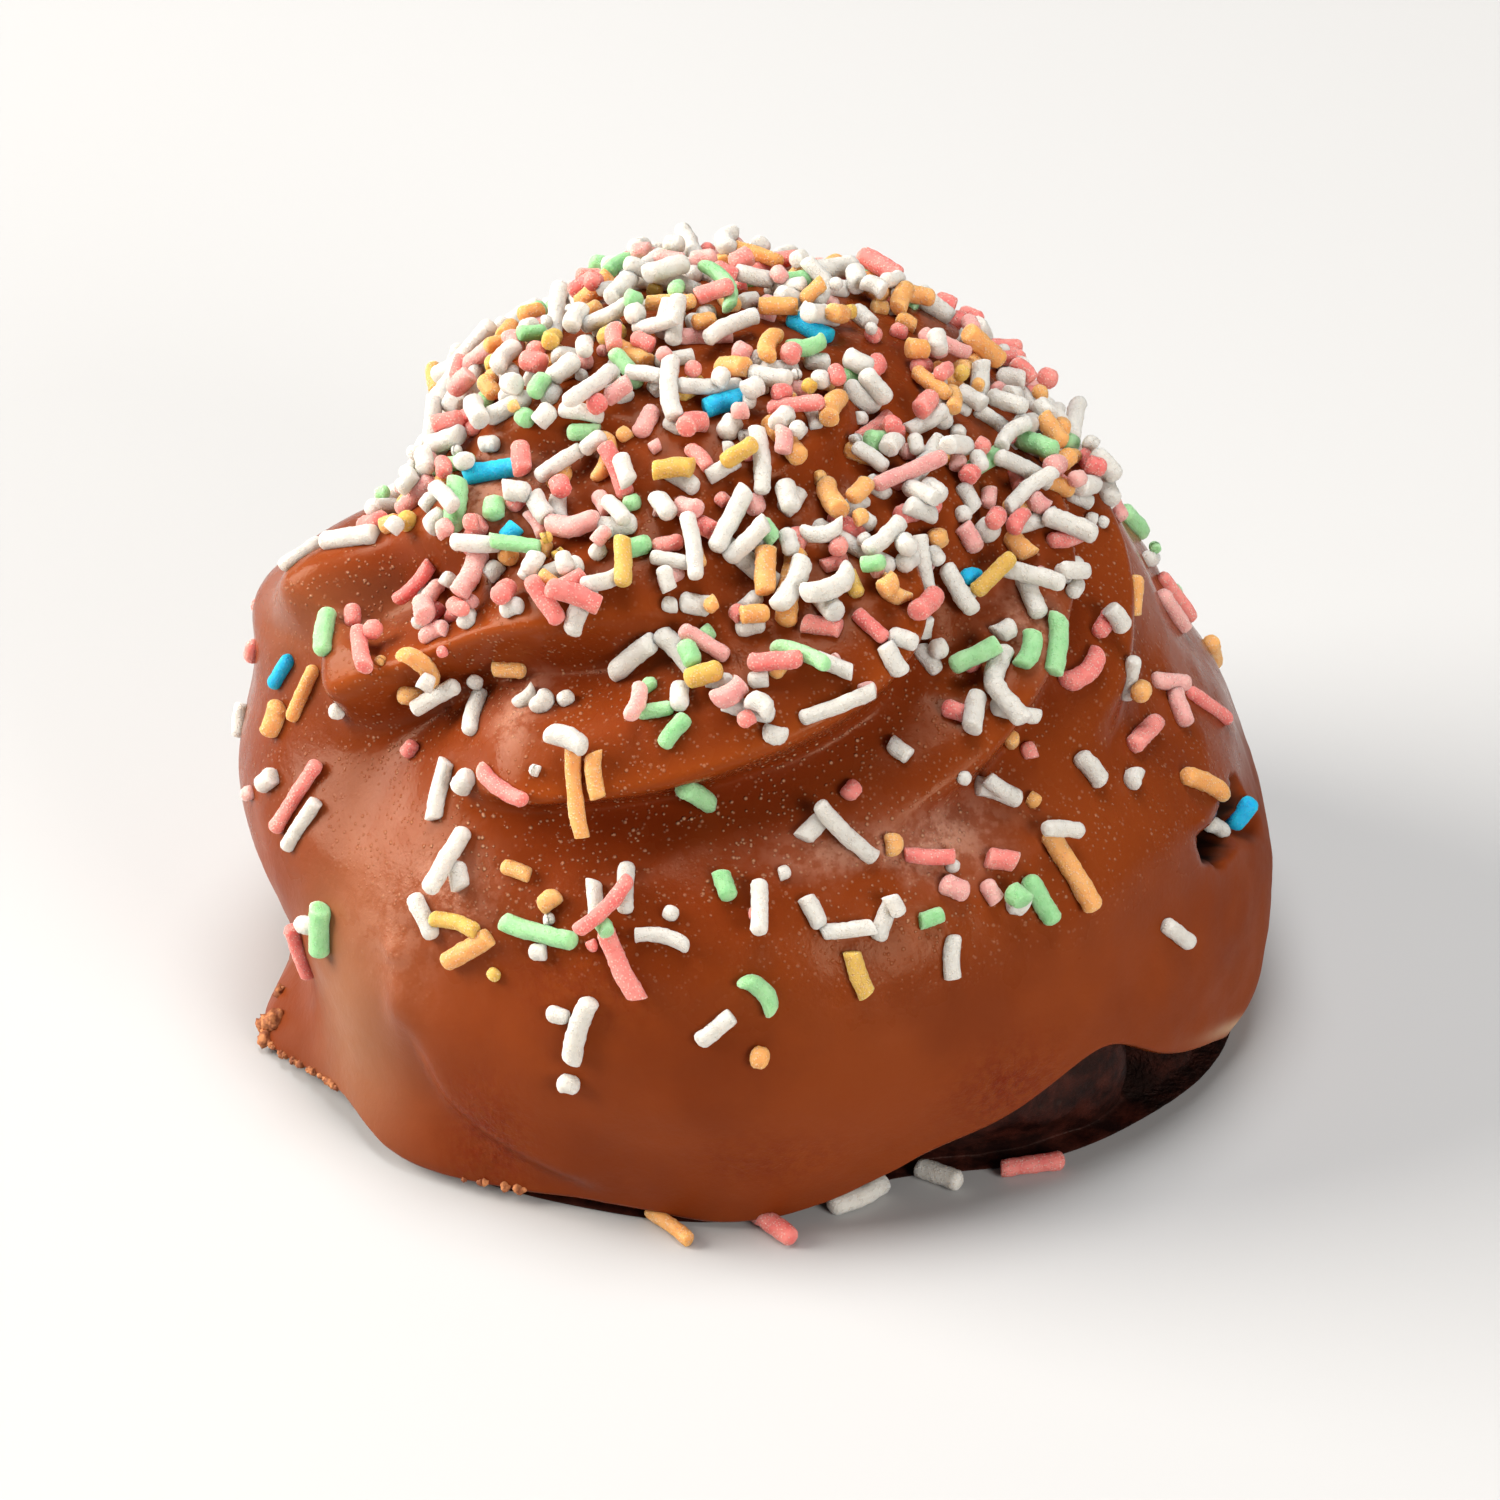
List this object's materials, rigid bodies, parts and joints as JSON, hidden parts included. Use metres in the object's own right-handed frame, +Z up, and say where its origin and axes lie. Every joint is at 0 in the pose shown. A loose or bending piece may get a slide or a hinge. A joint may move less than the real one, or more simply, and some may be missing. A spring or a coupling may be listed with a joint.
{
  "type": "petit four",
  "caption": "Petit four: a round of dark chocolate cake carrying a piped swirl under milk chocolate, strewn with coloured sugar strands.",
  "frame": {"origin": "middle of the cake's flat underside, on the surface it stands on", "axes": "+Z up through the swirl, -Y towards the front where the largest fold shows, +X to the right of that view"},
  "size_m": [0.046, 0.0457, 0.0322],
  "materials": {
    "milk_chocolate": "satin milk chocolate with fine air bubbles, matt in the hollows",
    "dark_cake": "moist dark chocolate crumb",
    "sugar_white": "matt white sugar",
    "sugar_pink": "matt coral pink sugar",
    "sugar_orange": "matt orange sugar",
    "sugar_green": "matt mint green sugar",
    "sugar_mauve": "matt mauve sugar",
    "sugar_yellow": "matt yellow sugar",
    "sugar_blue": "matt sky blue sugar"
  },
  "bodies": {
    "root": {"chocolate_swirl": "milk_chocolate", "cake_base": "dark_cake"}
  },
  "joints": []
}
